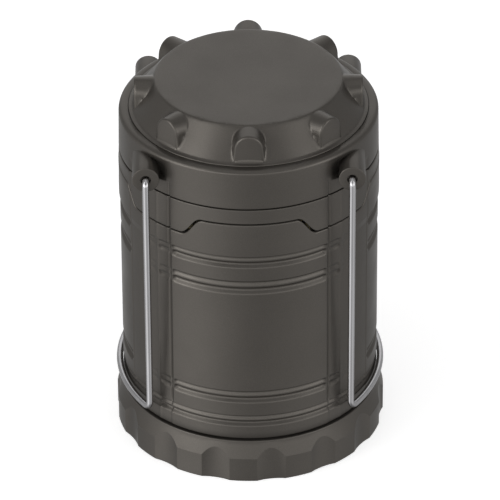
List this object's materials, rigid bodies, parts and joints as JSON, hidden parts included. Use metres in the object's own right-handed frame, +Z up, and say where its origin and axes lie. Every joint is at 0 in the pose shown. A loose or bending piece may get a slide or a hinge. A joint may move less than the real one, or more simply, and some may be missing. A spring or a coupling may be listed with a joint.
{
  "type": "camping lantern",
  "caption": "Collapsible camping lantern: a light head with two wire handles lifts out of a round battery housing on a scalloped screw cap.",
  "frame": {"origin": "centre of the underside of the base cap, where the closed lantern stands", "axes": "+Z up along the lantern's axis, front panel towards -Y, handles hang at -X and +X"},
  "size_m": [0.0886, 0.0885, 0.128],
  "materials": {
    "gunmetal_plastic": "satin moulded gunmetal plastic with a fine even grain",
    "black_plastic": "plain black moulded plastic",
    "handle_wire": "bright nickel plated steel wire",
    "clear_lens": "clear polished polystyrene",
    "mirror_plating": "vacuum metallised plastic",
    "board_white": "white solder mask",
    "led_phosphor": "white package with a yellow phosphor window",
    "contact_brass": "bright stamped brass",
    "screw_steel": "zinc plated steel",
    "seal_rubber": "matt black silicone rubber",
    "battery_sleeve": "plain dark printed sleeve with no marks",
    "lead_insulation": "red insulated hook-up wire",
    "contact_board": "brown phenolic board"
  },
  "bodies": {
    "housing": {"lower_shell": "gunmetal_plastic", "neck_seal": "seal_rubber", "friction_ring": "seal_rubber", "battery_holder": "black_plastic", "holder_screws": "screw_steel", "batteries": "battery_sleeve", "top_contacts": "contact_brass", "contact_rails": "contact_brass", "holder_leads": "lead_insulation"},
    "light_head": {"top_cap": "gunmetal_plastic", "handle_collar": "gunmetal_plastic", "head_skirt": "gunmetal_plastic", "head_plate": "black_plastic", "head_screws": "screw_steel", "lens_tube": "clear_lens", "reflector_column": "mirror_plating", "upper_reflector": "mirror_plating", "lower_reflector": "mirror_plating", "guide_ring": "black_plastic", "led_boards": "board_white", "leds": "led_phosphor", "wiper_contacts": "contact_brass", "head_leads": "lead_insulation"},
    "left_wire": {"left_handle": "handle_wire"},
    "right_wire": {"right_handle": "handle_wire"},
    "contact_carrier": {"contact_disc": "contact_board", "contact_plates": "contact_brass", "battery_springs": "screw_steel"},
    "cap": {"base_cap": "gunmetal_plastic"}
  },
  "joints": [
    {"name": "head_lift", "type": "slide", "parent": "housing", "child": "light_head", "axis": [0, 0, 1], "range_m": [0, 0.06]},
    {"name": "left_handle_swing", "type": "hinge", "parent": "light_head", "child": "left_wire", "pos_m": [-0.0328, 0, 0.1109], "axis": [0, 1, 0], "range_deg": [0, 193]},
    {"name": "right_handle_swing", "type": "hinge", "parent": "light_head", "child": "right_wire", "pos_m": [0.0328, 0, 0.1109], "axis": [0, -1, 0], "range_deg": [0, 193]},
    {"name": "cap_drop", "type": "slide", "parent": "housing", "child": "contact_carrier", "axis": [0, 0, -1], "range_m": [0, 0.0201]},
    {"name": "cap_turn", "type": "hinge", "parent": "contact_carrier", "child": "cap", "pos_m": [0, 0, 0], "axis": [0, 0, -1], "range_deg": [0, 300]}
  ],
  "couplings": [
    {"joint": "cap_drop", "follows": "cap_turn", "m_per_rad": 0.0038197}
  ]
}
